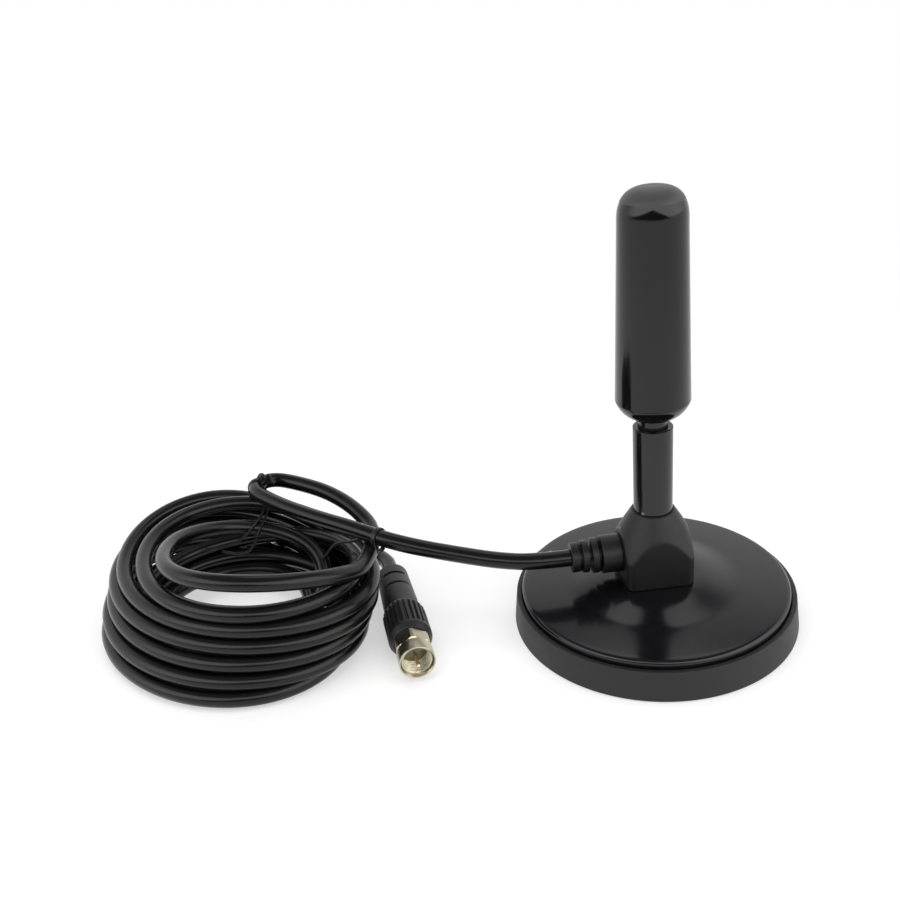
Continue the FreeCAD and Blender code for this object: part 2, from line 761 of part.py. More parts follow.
pin = plug_piece("plug_pin")
pin_tip = "(%s + pin_reach)" % FLANGE_FRONT
turn(pin, [
    ("0", POST_BACK),
    ("pin_diameter / 2", POST_BACK),
    ("pin_diameter / 2", "%s - pin_point" % pin_tip),
    ("pin_diameter / 4", pin_tip),
    ("0", pin_tip),
])

# Nut: a lip that runs behind the post's flange, a hexagon and a round collar
nut = plug_piece("plug_nut")
hex_front = "(%s + nut_hex_length)" % NUT_BACK
nut_front = "(%s + nut_length)" % NUT_BACK
lip_bore = "(post_diameter / 2 + nut_running_gap)"
turn(nut, [
    (lip_bore, NUT_BACK),
    ("nut_corner_diameter / 2 - 2 * nut_edge", NUT_BACK),
    ("nut_corner_diameter / 2", "%s + nut_edge" % NUT_BACK),
    ("nut_corner_diameter / 2", "%s - nut_edge" % hex_front),
    ("nut_collar_diameter / 2 - nut_edge", hex_front),
    ("nut_collar_diameter / 2", "%s + nut_edge" % hex_front),
    ("nut_collar_diameter / 2", "%s - nut_edge" % nut_front),
    ("nut_collar_diameter / 2 - nut_edge", nut_front),
    ("nut_bore / 2", nut_front),
    ("nut_bore / 2", "%s + nut_lip" % NUT_BACK),
    (lip_bore, "%s + nut_lip" % NUT_BACK),
])
flat = new_sketch(nut, "XZ_Plane")
rectangle(flat, "nut_across_flats / 2", "nut_corner_diameter", NUT_BACK + " - 1", hex_front + " - nut_edge")
around(nut, cut(nut, flat, "2 * nut_corner_diameter", both=True), "6")

# Every object has to be sound before anything is written
doc.recompute()
for item in doc.Objects:
    if "Invalid" in item.State or "Error" in item.State:
        raise RuntimeError("%s failed: %s" % (item.Label, item.State))
os.makedirs("parts", exist_ok=True)
for item in sub_parts:
    shape = item.Shape
    if shape.isNull() or not shape.isValid() or shape.Volume <= 0:
        raise RuntimeError("%s has no sound shape" % item.Label)
    print("%-18s solids %d  volume %10.1f" % (item.Label, len(shape.Solids), shape.Volume))
for item in sub_parts:
    item.Shape.exportStep("parts/%s.step" % item.Label)
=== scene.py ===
import math

import bmesh
import bpy
import numpy as np
from mathutils import Matrix, Vector


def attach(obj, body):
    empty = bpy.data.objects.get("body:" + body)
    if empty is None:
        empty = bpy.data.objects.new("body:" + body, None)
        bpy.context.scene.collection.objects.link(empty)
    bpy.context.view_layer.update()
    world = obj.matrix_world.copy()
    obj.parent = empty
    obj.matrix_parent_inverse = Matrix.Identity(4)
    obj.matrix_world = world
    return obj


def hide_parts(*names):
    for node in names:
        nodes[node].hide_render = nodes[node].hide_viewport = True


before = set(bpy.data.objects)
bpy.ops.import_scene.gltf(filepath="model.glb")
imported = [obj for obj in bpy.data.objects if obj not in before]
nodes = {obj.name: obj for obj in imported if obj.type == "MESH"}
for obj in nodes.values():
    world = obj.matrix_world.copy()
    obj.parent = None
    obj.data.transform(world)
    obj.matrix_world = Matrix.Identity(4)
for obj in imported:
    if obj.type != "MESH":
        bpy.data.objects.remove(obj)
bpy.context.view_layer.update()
scene = bpy.context.scene
scene.view_settings.view_transform = "Standard"
mm = 0.001
print("frame loaded:", len(nodes), "nodes")

# camera: place in millimetres and axes in the row frame
cameraSetup = {
    "place": (-66.719, -248.997, 182.182),
    "right": (0.99298, -0.07444, -0.09195),
    "up": (0.11493, 0.42256, 0.89902),
    "lens": 38.418, "sensor": 36.0, "nearest": 0.01,
}


def addCamera(setup):
    right = Vector(setup["right"]).normalized()
    back = right.cross(Vector(setup["up"])).normalized()
    up = back.cross(right)
    data = bpy.data.cameras.new("photoCamera")
    data.lens = setup["lens"]
    data.sensor_width = setup["sensor"]
    data.clip_start = setup["nearest"]
    camera = bpy.data.objects.new("photoCamera", data)
    turn = Matrix((right, up, back)).transposed().to_4x4()
    camera.matrix_world = Matrix.Translation(Vector(setup["place"]) * mm) @ turn
    scene.collection.objects.link(camera)
    scene.camera = camera


addCamera(cameraSetup)
print("camera set")

# cable: free lead, tied turns and tail as the control points of one spline, in millimetres
cable = {
    "diameter": 5.2,
    "lead": [
        (-25.6, 0.0, 23.2), (-36.6, 0.3, 22.9), (-47.5, 3.2, 23.2), (-60.0, 7.2, 24.8),
        (-72.0, 10.0, 27.3), (-82.0, 12.2, 30.3), (-91.5, 19.2, 31.4), (-101.5, 27.3, 31.4),
        (-112.0, 36.5, 31.4), (-121.3, 45.8, 31.7), (-126.4, 52.4, 32.0), (-126.2, 58.5, 32.0),
        (-120.2, 61.6, 31.6), (-111.0, 56.2, 31.2), (-101.0, 48.5, 30.6), (-91.8, 38.0, 28.8),
        (-85.0, 25.5, 26.0),
    ],
    # one row a turn, clockwise from the right: reach right, front, left, back, the heights there
    "turns": [
        (-85.6, -16.0, -150.0, 44.8, 22.0, 37.7, 33.5, 21.7),
        (-103.0, -11.0, -158.0, 42.8, 16.0, 12.6, 8.5, 7.0),
        (-108.5, -13.0, -163.0, 45.4, 9.5, 6.8, 8.5, 11.1),
        (-97.5, -11.5, -160.5, 48.6, 10.2, 18.5, 16.4, 15.8),
        (-92.0, -17.6, -158.8, 55.5, 22.4, 28.1, 27.6, 26.8),
        (-88.4, -18.4, -166.6, 63.0, 19.3, 23.2, 23.0, 26.5),
        (-90.2, -19.2, -170.4, 63.5, 14.2, 18.1, 18.2, 20.5),
        (-92.2, -20.2, -171.8, 61.0, 9.2, 13.0, 13.2, 16.6),
        (-94.0, -21.2, -174.0, 57.8, 4.4, 7.8, 8.3, 12.2),
        (-99.4, -22.0, -175.2, 56.0, 2.6, 2.6, 3.2, 7.0),
    ],
    "lean": (0.0, 2.0, 4.0, 5.0, 6.0, 10.0, 13.0, 12.0, 12.0, 12.0),
    "turnCount": 9.8,
    "pointsPerTurn": 16,
    "tail": [
        (-112.0, 56.5, 6.0), (-91.0, 48.0, 5.8), (-83.5, 38.5, 6.6), (-82.5, 31.8, 6.8),
        (-81.9, 27.2, 6.8),
    ],
}


def smoothThrough(knots, values, at):
    # cubic Hermite through the knots, with each slope taken from the two neighbours
    knots, values = np.asarray(knots, float), np.asarray(values, float)
    slopes = np.gradient(values, knots)
    k = np.clip(np.searchsorted(knots, at, "right") - 1, 0, len(knots) - 2)
    gap = knots[k + 1] - knots[k]
    u = np.clip((at - knots[k]) / gap, 0.0, 1.0)
    rise = values[k + 1] - values[k]
    bend = (u - 1) * (slopes[k] * gap * (u - 1) + slopes[k + 1] * gap * u)
    return values[k] + rise * u * u * (3 - 2 * u) + bend * u


def coilPoints(setup):
    # an ellipse whose four reaches change along the turns, leaning forwards on its left side
    turns = np.array(setup["turns"])
    count = np.arange(len(turns))
    perTurn = setup["pointsPerTurn"]
    at = np.arange(1, round(setup["turnCount"] * perTurn) + 1) / perTurn
    right, front, left, back = (np.interp(at, count + q / 4, turns[:, q]) for q in range(4))
    angle = -2 * np.pi * at
    # a spline runs inside its control points, so they are spread outwards
    spread = 1 / math.cos(math.pi / perTurn)
    lean = np.interp(at, count, setup["lean"])
    x = (right + left) / 2 + spread * ((right - left) / 2 * np.cos(angle) - lean * np.sin(angle))
    y = (front + back) / 2 + spread * (back - front) / 2 * np.sin(angle)
    quarter = np.arange(4 * len(turns)) / 4
    z = smoothThrough(quarter, turns[:, 4:].ravel(), at)
    return np.stack([x, y, np.maximum(z, setup["diameter"] / 2)], 1)


def addCord(name, points, diameter):
    data = bpy.data.curves.new(name, "CURVE")
    data.dimensions = "3D"
    spline = data.splines.new("NURBS")
    spline.points.add(len(points) - 1)
    spline.points.foreach_set("co", np.c_[points, np.ones(len(points))].ravel())
    spline.order_u = 3
    spline.use_endpoint_u = True
    spline.resolution_u = 6
    data.bevel_depth = diameter / 2
    data.bevel_resolution = 5
    data.use_fill_caps = True
    piece = bpy.data.objects.new(name, data)
    scene.collection.objects.link(piece)
    return piece


def splineLength(piece):
    plain = piece.data.copy()
    plain.bevel_depth = 0.0
    probe = bpy.data.objects.new("probe", plain)
    line = bpy.data.meshes.new_from_object(probe)
    spots = np.empty(len(line.vertices) * 3)
    line.vertices.foreach_get("co", spots)
    bpy.data.objects.remove(probe)
    return float(np.linalg.norm(np.diff(spots.reshape(-1, 3), axis=0), axis=1).sum())


cablePoints = np.vstack([cable["lead"], coilPoints(cable), cable["tail"]]) * mm
cablePiece = addCord("cable", cablePoints, cable["diameter"] * mm)
cableLength = splineLength(cablePiece)
print("cable laid: %.3f m" % cableLength)


# surfaces: a closed loop of points round an axis for each station along it
weldDistance = 1e-7


def addSurface(name, *grids, sharpAngle=34):
    spots, faces, used = [], [], 0
    for grid in grids:
        rows, cols = grid.shape[:2]
        index = np.arange(rows * cols).reshape(rows, cols) + used
        beside = np.roll(index, -1, 1)
        faces.append(np.stack([index[:-1], beside[:-1], beside[1:], index[1:]], -1).reshape(-1, 4))
        spots.append(grid.reshape(-1, 3))
        used += rows * cols
    mesh = bpy.data.meshes.new(name)
    mesh.from_pydata(np.vstack(spots).tolist(), [], np.vstack(faces).tolist())
    work = bmesh.new()
    work.from_mesh(mesh)
    bmesh.ops.remove_doubles(work, verts=work.verts, dist=weldDistance)
    bmesh.ops.recalc_face_normals(work, faces=work.faces)
    work.to_mesh(mesh)
    work.free()
    mesh.shade_smooth()
    mesh.set_sharp_from_angle(angle=math.radians(sharpAngle))
    piece = bpy.data.objects.new(name, mesh)
    scene.collection.objects.link(piece)
    return piece


def ringAngles(count):
    return np.arange(count) * (2 * np.pi / count)


def evenRows(radii, count):
    # for each radius, one row that is the same all the way round
    return np.repeat(np.asarray(radii, float)[:, None], count, 1)


def carryRound(stations, radii, angles, origin=(0, 0, 0), along=(0, 0, 1), up=(1, 0, 0)):
    # point = origin + along * station + radius * (up * cos + side * sin), in millimetres
    along, up = np.array(along, float), np.array(up, float)
    side = np.cross(along, up)
    if np.ndim(radii) == 1:
        radii = evenRows(radii, len(angles))
    ring = np.cos(angles)[:, None] * up + np.sin(angles)[:, None] * side
    spine = np.array(origin, float) + np.asarray(stations)[:, None] * along
    return (spine[:, None, :] + radii[:, :, None] * ring[None]) * mm


# an arc takes less than half of a side, so that two arcs never meet
mostOfSide = 0.49


def softProfile(corners, steps=5):
    # each corner is (radius, station, round): an arc tangent to both sides takes its place
    spots = np.array([c[:2] for c in corners], float)
    roundings = [c[2] for c in corners[1:-1]]
    out = [spots[:1]]
    for before, at, after, rounding in zip(spots, spots[1:], spots[2:], roundings):
        if rounding <= 0:
            out.append(at[None])
            continue
        toBefore, toAfter = before - at, after - at
        runs = np.linalg.norm(toBefore), np.linalg.norm(toAfter)
        toBefore, toAfter = toBefore / runs[0], toAfter / runs[1]
        half = math.acos(np.clip(toBefore @ toAfter, -1, 1)) / 2
        reach = min(rounding / math.tan(half), mostOfSide * min(runs))
        radius = reach * math.tan(half)
        inward = (toBefore + toAfter) / np.linalg.norm(toBefore + toAfter)
        centre = at + inward * radius / math.sin(half)
        swing = np.linspace(-1, 1, steps + 1)[:, None] * (math.pi / 2 - half)
        across = (toAfter - toBefore) / np.linalg.norm(toAfter - toBefore)
        out.append(centre + radius * (np.sin(swing) * across - np.cos(swing) * inward))
    out.append(spots[-1:])
    profile = np.vstack(out)
    return profile[:, 0], profile[:, 1]


def addTurned(name, corners, count=160, steps=5, **place):
    radii, stations = softProfile(corners, steps)
    return addSurface(name, carryRound(stations, radii, ringAngles(count), **place))


def step(low, high, at):
    # smooth rise from 0 at low to 1 at high
    u = np.clip((at - low) / (high - low), 0, 1)
    return u * u * (3 - 2 * u)


def edgeTuck(distance, radius):
    # how far a rounded edge draws in, by the distance from where the part ends
    short = np.maximum(radius - distance, 0)
    return radius - np.sqrt(np.maximum(radius ** 2 - short ** 2, 0))


# base: rubber boot and pressed dish
base = {
    "bootFoot": 43.6, "bootTop": 42.6, "bootHeight": 9.4, "bootFloor": 2.0, "bootBore": 41.05,
    "bootRound": 0.35, "boreRound": 0.3, "padSeat": 33.2, "sides": 224,
    "dishRadius": 40.9, "rimHeight": 11.7, "crownHeight": 14.9, "seatRadius": 8.5,
    "beadRound": 2.1, "beadWidth": 2.6, "bossRadius": 12.5, "bossFoot": 27.0, "bossRise": 2.0,
}


def addBase(b):
    seat, bore, floor, height = b["padSeat"], b["bootBore"], b["bootFloor"], b["bootHeight"]
    boot = addTurned("baseBoot", [
        (seat, 0, 0), (b["bootFoot"], 0, b["bootRound"]), (b["bootTop"], height, b["bootRound"]),
        (bore, height, b["boreRound"]), (bore, floor, 0), (seat, floor, 0), (seat, 0, 0),
    ], count=b["sides"])
    # the dome falls as the square of the distance from its flat seat, and a low boss rises
    # under the foot
    outside, rim, crown = b["dishRadius"], b["rimHeight"], b["crownHeight"]
    reach = np.linspace(outside - b["beadWidth"], 0, 60)
    fall = (crown - rim - b["bossRise"]) / (outside - b["seatRadius"]) ** 2
    dome = crown - fall * np.maximum(reach - b["seatRadius"], 0) ** 2
    dome -= b["bossRise"] * step(b["bossRadius"], b["bossFoot"], reach)
    skirt = softProfile([
        (0, floor, 0), (outside, floor, 0), (outside, rim, b["beadRound"]), (reach[0], dome[0], 0),
    ], 8)
    radii = np.r_[skirt[0], reach[1:]]
    stations = np.r_[skirt[1], dome[1:]]
    dish = addSurface("baseDish", carryRound(stations, radii, ringAngles(b["sides"])))
    return boot, dish


bootPiece, dishPiece = addBase(base)
print("base made")

# foot block: rounded square in plan, cut by a slightly swollen cone, with a soft edge between
block = {
    "foot": 14.9, "height": 22.6, "half": 10.3, "corner": 2.5, "edge": 0.15, "footRound": 0.4,
    "top": 6.35, "coneAngle": 27.0, "coneReach": 8.4, "coneRun": 1.4, "coneSwell": 80.0,
    "lipDrop": 0.06, "lipWidth": 0.2, "socket": 5.85, "socketDepth": 6.0,
    "footStart": 0.02, "sideStart": 0.8, "sideGap": 0.25,
}


def roundedSquare(angles, half, corner):
    # distance to a square with round corners, by the angle from the nearest flat
    swing = np.abs((angles + np.pi / 4) % (np.pi / 2) - np.pi / 4)
    flat = half / np.cos(swing)
    inner = half - corner
    lean = inner * (np.cos(swing) + np.sin(swing))
    bend = lean + np.sqrt(np.maximum(lean ** 2 - 2 * inner ** 2 + corner ** 2, 0))
    return np.where(half * np.tan(swing) <= inner, flat, bend)


def softMin(a, b, blend):
    # the smaller of two, with the crossing rounded over the blend length
    h = np.clip(0.5 + 0.5 * (b - a) / blend, 0, 1)
    return b + (a - b) * h - blend * h * (1 - h)


def addBlock(b):
    angles = ringAngles(288)
    square = roundedSquare(angles, b["half"], b["corner"])
    top, height, footRound = b["top"], b["height"], b["footRound"]
    footRows = np.linspace(b["footStart"], footRound, 5)
    z = np.r_[0, footRows, np.linspace(b["sideStart"], height - b["sideGap"], 90)]
    # chord of a circle between the cone's top and its foot, swollen outwards
    drop = height - z
    lean = math.radians(b["coneAngle"])
    chord = b["coneReach"] / math.sin(lean)
    run = np.clip(drop / math.cos(lean) / chord, 0, b["coneRun"])
    swell = chord ** 2 / (2 * b["coneSwell"]) * run * (1 - run)
    cone = top + drop * math.tan(lean) + swell / math.cos(lean)
    flank = square[None, :] - edgeTuck(z, footRound)[:, None]
    body = softMin(flank, evenRows(cone, len(angles)), b["edge"] * 2)
    floor = height - b["socketDepth"]
    lid = np.array([
        (top - b["lipDrop"], height - b["lipDrop"]), (top - b["lipWidth"], height),
        (b["socket"], height), (b["socket"], floor), (0, floor),
    ])
    rows = np.vstack([evenRows([0], len(angles)), body, evenRows(lid[:, 0], len(angles))])
    stations = np.r_[0, z, lid[:, 1]] + b["foot"]
    return addSurface("footBlock", carryRound(stations, rows, angles), sharpAngle=40)


blockPiece = addBlock(block)
print("foot block made")

# strain relief: collar and three rings with bridged slots between them
relief = {
    "x": -10.3, "height": 23.2, "collar": 5.85, "collarLength": 6.2, "rootRound": 0.3,
    "rings": 3, "ring": 2.0, "slot": 0.9, "slotOutside": 0.08, "slotInside": 0.02,
    "length": 15.3, "taper": 0.42, "core": 3.4, "edge": 0.35, "bore": 2.62, "boreDepth": 1.5,
    "bridge": 1.3, "bridgeEdge": 0.15, "bridgeFill": 0.93,
}


def addRelief(r):
    angles = ringAngles(160)
    s = np.linspace(0, r["length"], 300)
    starts = [r["collarLength"] + n * (r["slot"] + r["ring"]) for n in range(r["rings"])]
    outer = np.full_like(s, r["collar"])
    solid = np.ones((len(s), len(angles)))
    out, into, bridgeEdge = r["slotOutside"], r["slotInside"], r["bridgeEdge"]
    for n, start in enumerate(starts):
        end = start + r["slot"]
        outer[s > start + r["slot"] / 2] = r["collar"] - (n + 1) * r["taper"]
        # 1 at a bridge, which sits above and below on even slots and at the sides on odd ones
        offset = np.abs((np.sin if n % 2 == 0 else np.cos)(angles) * r["collar"])
        bridge = 1 - step(r["bridge"] - bridgeEdge, r["bridge"] + bridgeEdge, offset)
        inside = step(start - out, start + into, s) - step(end - into, end + out, s)
        solid *= 1 - inside[:, None] * (1 - r["bridgeFill"] * bridge[None, :])
    # rims rounded by the distance to the nearest end of a collar or ring
    ends = [0.0, r["length"]] + [e for start in starts for e in (start, start + r["slot"])]
    near = np.abs(s[:, None] - np.array(ends)[None, :]).min(1)
    radii = r["core"] + ((outer - edgeTuck(near, r["edge"]))[:, None] - r["core"]) * solid
    root = evenRows([0, r["collar"] - r["rootRound"]], len(angles))
    mouth = evenRows([r["bore"], r["bore"], 0], len(angles))
    floor = r["length"] - r["boreDepth"]
    stations = np.r_[0, 0, s, r["length"], floor, floor]
    return addSurface("strainRelief", carryRound(
        stations, np.vstack([root, radii, mouth]), angles,
        origin=(r["x"], 0, r["height"]), along=(-1, 0, 0), up=(0, 0, 1)), sharpAngle=40)


reliefPiece = addRelief(relief)
print("strain relief made")

# stem and head
mast = {
    "stemRadius": 5.8, "stemBore": 4.3, "stemFoot": 31.0, "stemTop": 64.4, "stemRound": 0.15,
    "neck": 4.25, "neckFoot": 56.4, "neckRound": 0.3, "neckFillet": 0.25, "headFoot": 67.9,
    "capFoot": 6.3, "capRadius": 10.65, "capRound": 8.0, "capLid": 0.4, "seamGap": 0.06,
    "coverFoot": 72.9, "footRadius": 10.75, "footRound": 0.15, "headTop": 132.8,
    "topRadius": 9.5, "crownRise": 10.0, "crownPower": 2.85,
    "gateRadius": 1.5, "gateEdge": 0.25, "gateDepth": 0.08,
}


def addMast(m):
    bore, outside, foot, top = m["stemBore"], m["stemRadius"], m["stemFoot"], m["stemTop"]
    stem = addTurned("stemTube", [
        (bore, foot, 0), (outside, foot, 0), (outside, top, m["stemRound"]),
        (bore, top, m["stemRound"]), (bore, foot, 0),
    ], count=128)
    # cap: an arc of the cap's round from the flat foot up to the seam
    seam = m["coverFoot"] - m["seamGap"]
    low, high = np.array([m["capFoot"], m["headFoot"]]), np.array([m["capRadius"], seam])
    half = np.linalg.norm(high - low) / 2
    inward = np.array([low[1] - high[1], high[0] - low[0]]) / (2 * half)
    centre = (low + high) / 2 + inward * math.sqrt(m["capRound"] ** 2 - half ** 2)
    swing = np.linspace(-1, 1, 24)[:, None] * math.asin(half / m["capRound"])
    along = (high - low) / (2 * half)
    bowl = centre + m["capRound"] * (np.sin(swing) * along - np.cos(swing) * inward)
    neck = softProfile([
        (0, m["neckFoot"], 0), (m["neck"], m["neckFoot"], m["neckRound"]),
        (m["neck"], m["headFoot"], m["neckFillet"]), (m["capFoot"], m["headFoot"], 0),
    ])
    radii = np.r_[neck[0], bowl[1:, 0], m["capRadius"] - m["capLid"], 0]
    stations = np.r_[neck[1], bowl[1:, 1], seam, seam]
    plug = addSurface("headPlug", carryRound(stations, radii, ringAngles(160)))
    # crown: a curve between an ellipse and a box, whose power says how square, with a faint
    # moulding mark on top
    turn = np.linspace(0, math.pi / 2, 72)
    away = m["topRadius"] * np.cos(turn) ** (2 / m["crownPower"])
    crown = m["headTop"] - m["crownRise"] * (1 - np.sin(turn) ** (2 / m["crownPower"]))
    side = softProfile([
        (0, m["coverFoot"], 0), (m["footRadius"], m["coverFoot"], m["footRound"]),
        (away[0], crown[0], 0),
    ], 14)
    mark = m["gateDepth"] * (1 - step(m["gateRadius"] - m["gateEdge"], m["gateRadius"], away))
    radii = np.r_[side[0], away[1:]]
    stations = np.r_[side[1], (crown - mark)[1:]]
    cover = addSurface("headCover", carryRound(stations, radii, ringAngles(192)))
    return stem, plug, cover


stemPiece, headPlugPiece, coverPiece = addMast(mast)
print("mast made")

# plug: boot with notches and ribs, nut with a hexagon, a round collar and an inner thread, and
# the pin; stations are measured from the boot's rear
plugTurn = math.radians(7.75)
plug = {
    "line": {
        "origin": (-81.9, 27.2, 6.8), "along": (math.sin(plugTurn), -math.cos(plugTurn), 0.0),
        "up": (0, 0, 1),
    },
    "rearRadius": 5.2, "rearRound": 0.8, "rearFlat": 4.4, "waist": 5.75, "waistRound": 0.8,
    "grip": 6.8, "gripStart": 22.4, "gripFull": 24.6, "gripEnd": 36.4, "gripRound": 0.6,
    "noseEdge": 0.5, "nose": 5.7, "noseRound": 0.3, "noseFlat": 5.4, "length": 38.2,
    "socket": 3.42, "socketDepth": 1.0, "stationRows": ((0.9, 20, 120), (20.2, 37.6, 90)),
    "notches": (5.2, 11.5), "notchWidth": 1.0, "notchFloor": 3.7, "notchEdge": 0.05,
    "notchSide": 0.05, "ribCount": 24, "ribPoints": 10, "ribDepth": 0.85, "ribGroove": 0.27,
    "grooveInside": 0.13, "grooveOutside": 0.05, "ribEnd": 35.2, "fadeFrom": 0.1, "fadeTo": 0.15,
}
nut = {
    "back": 38.35, "lipFront": 40.2, "lip": 3.45, "front": 48.4, "hexFront": 43.25,
    "backRound": 0.15, "flat": 5.1, "corner": 5.65, "cornerCut": 0.6, "cornerRun": 0.35,
    "cornerRound": 0.1, "hexGap": 0.05, "collar": 5.5, "collarCut": 0.55, "collarRun": 0.45,
    "collarFillet": 0.12, "collarRound": 0.25, "frontRound": 0.2,
    "bore": 4.62, "mouth": 5.12, "mouthDepth": 0.9, "mouthRound": 0.08, "pitch": 0.794,
    "threadDepth": 0.42, "threadGap": 0.05, "crestTop": 1.25, "crestSlope": 4,
}
pin = {"radius": 0.55, "back": 39.0, "tip": 50.1, "tipRound": 0.8}


def addPlugBoot(p):
    angles = ringAngles(p["ribCount"] * p["ribPoints"])
    length, edge = p["length"], p["notchEdge"]
    outline = softProfile([
        (0, 0, 0), (p["rearRadius"], 0, p["rearRound"]),
        (p["waist"], p["gripStart"], p["waistRound"]), (p["grip"], p["gripFull"], p["gripRound"]),
        (p["grip"], p["gripEnd"], p["noseEdge"]), (p["nose"], length, p["noseRound"]),
        (p["socket"], length, 0),
    ], 6)
    s = np.unique(np.concatenate([outline[1]] + [np.linspace(*row) for row in p["stationRows"]]))
    radius = np.interp(s, outline[1][1:-1], outline[0][1:-1])
    # ribs: a groove between each pair, with a rounded floor, fading out up the ramp
    swing = angles * p["ribCount"] / (2 * np.pi)
    away = np.abs(swing - np.round(swing))
    middle = p["ribGroove"]
    groove = 1 - step(middle - p["grooveInside"], middle + p["grooveOutside"], away)
    window = 1 - step(p["ribEnd"] - p["fadeFrom"], p["ribEnd"] + p["fadeTo"], s)
    ribFloor = p["grip"] - p["ribDepth"]
    cut = np.maximum(radius - ribFloor, 0) * window
    radii = radius[:, None] - cut[:, None] * groove[None, :]
    # notches: flat cuts across the top and bottom
    chord = p["notchFloor"] / np.maximum(np.abs(np.cos(angles)), p["notchSide"])
    for start in p["notches"]:
        end = start + p["notchWidth"]
        inside = step(start - edge, start + edge, s) - step(end - edge, end + edge, s)
        radii -= inside[:, None] * np.maximum(radii - chord[None, :], 0)
    rear = evenRows([0, p["rearFlat"]], len(angles))
    socket = evenRows([p["noseFlat"], p["socket"], p["socket"], 0], len(angles))
    floor = length - p["socketDepth"]
    stations = np.r_[0, 0, s[1:-1], length, length, floor, floor]
    rows = np.vstack([rear, radii[1:-1], socket])
    return addSurface("plugBoot", carryRound(stations, rows, angles, **p["line"]), sharpAngle=38)


def addPlugNut(p, n):
    angles = ringAngles(192)
    # a corner of the hexagon points up
    swing = angles % (np.pi / 3) - np.pi / 6
    flats = n["flat"] / np.cos(swing)
    back, hexFront, front = n["back"], n["hexFront"], n["front"]
    corner, collar, threadStart = n["corner"], n["collar"], n["front"] - n["mouthDepth"]
    outside = softProfile([
        (n["lip"], back, 0), (corner - n["cornerCut"], back, n["backRound"]),
        (corner, back + n["cornerRun"], n["cornerRound"]),
        (corner, hexFront - n["cornerRun"], n["cornerRound"]),
        (collar - n["collarCut"], hexFront, n["collarFillet"]),
        (collar, hexFront + n["collarRun"], n["collarRound"]),
        (collar, front, n["frontRound"]), (n["mouth"], front, n["mouthRound"]),
        (n["bore"], threadStart, 0),
    ], 4)
    # the hexagon limits the radius behind the collar only
    outer = evenRows(outside[0], len(angles))
    hexRow = outside[1] < hexFront - n["hexGap"]
    outer[hexRow] = np.minimum(outer[hexRow], flats)
    # thread: a ridge that climbs one pitch a turn, a clipped triangle wave of station and angle
    s = np.linspace(threadStart - n["threadGap"], n["lipFront"] + n["threadGap"], 130)
    wave = (s[:, None] / n["pitch"] - angles[None, :] / (2 * np.pi)) % 1
    ridge = np.clip(n["crestTop"] - np.abs(wave - 0.5) * n["crestSlope"], 0, 1)
    inner = n["bore"] - n["threadDepth"] * ridge
    lip = evenRows([n["bore"], n["lip"], n["lip"]], len(angles))
    stations = np.r_[outside[1], s, n["lipFront"], n["lipFront"], back]
    rows = np.vstack([outer, inner, lip])
    return addSurface("plugNut", carryRound(stations, rows, angles, **p["line"]), sharpAngle=38)


plugBootPiece = addPlugBoot(plug)
nutPiece = addPlugNut(plug, nut)
pinPiece = addTurned("plugPin", [
    (0, pin["back"], 0), (pin["radius"], pin["back"], 0),
    (pin["radius"], pin["tip"], pin["radius"] * pin["tipRound"]), (0, pin["tip"], 0),
], count=32, **plug["line"])
print("plug made")

# ties: coated strips in upright loops, with a twisted end and loose tails
ties = {
    "left": {
        "at": (-126.3, 56.2, 29.6), "heading": 118.0, "height": 10.8,
        "twist": [(-125.4, 57.2, 34.9), (-122.6, 57.0, 34.8), (-119.8, 55.8, 33.4)],
        "tails": [
            [(-124.0, 54.6, 29.2), (-123.4, 50.6, 28.2), (-124.5, 46.0, 26.2),
             (-128.7, 41.6, 22.7), (-132.5, 40.4, 20.2), (-136.0, 40.0, 19.0),
             (-144.4, 39.8, 18.6)],
            [(-123.2, 54.6, 28.8), (-122.4, 50.4, 27.2), (-123.9, 44.4, 24.4),
             (-126.2, 41.0, 21.1), (-128.0, 40.0, 17.9), (-130.6, 39.5, 15.8),
             (-134.2, 39.1, 15.9), (-138.9, 39.0, 17.6)],
        ],
    },
    "right": {
        "at": (-83.8, 13.8, 29.2), "heading": 142.0, "height": 8.6, "twist": [],
        "tails": [
            [(-86.4, 17.0, 27.8), (-89.9, 18.2, 27.9), (-92.6, 19.0, 27.0),
             (-98.0, 21.0, 25.6), (-102.0, 22.5, 21.0), (-107.1, 24.0, 13.8)],
        ],
    },
    "width": 6.4, "strip": 1.6, "thickness": 0.6, "sideSlope": 9, "stripPower": 0.5,
    "tailStrip": 0.9, "tailThickness": 0.55, "tailFlat": (0.3, 0.2, 1.0), "tailPoints": 60,
    "strandAway": 0.65, "strandStrip": 1.9, "strandThickness": 0.9, "strandTilt": 0.25,
    "strandHalfTurns": 2.2, "strandPoints": 50,
}


def curveThrough(points, count):
    # smooth line through a few points, measured along their chords
    points = np.array(points, float)
    reach = np.r_[0, np.cumsum(np.linalg.norm(np.diff(points, axis=0), axis=1))]
    at = np.linspace(0, reach[-1], count)
    return np.stack([smoothThrough(reach, points[:, k], at) for k in range(3)], 1)


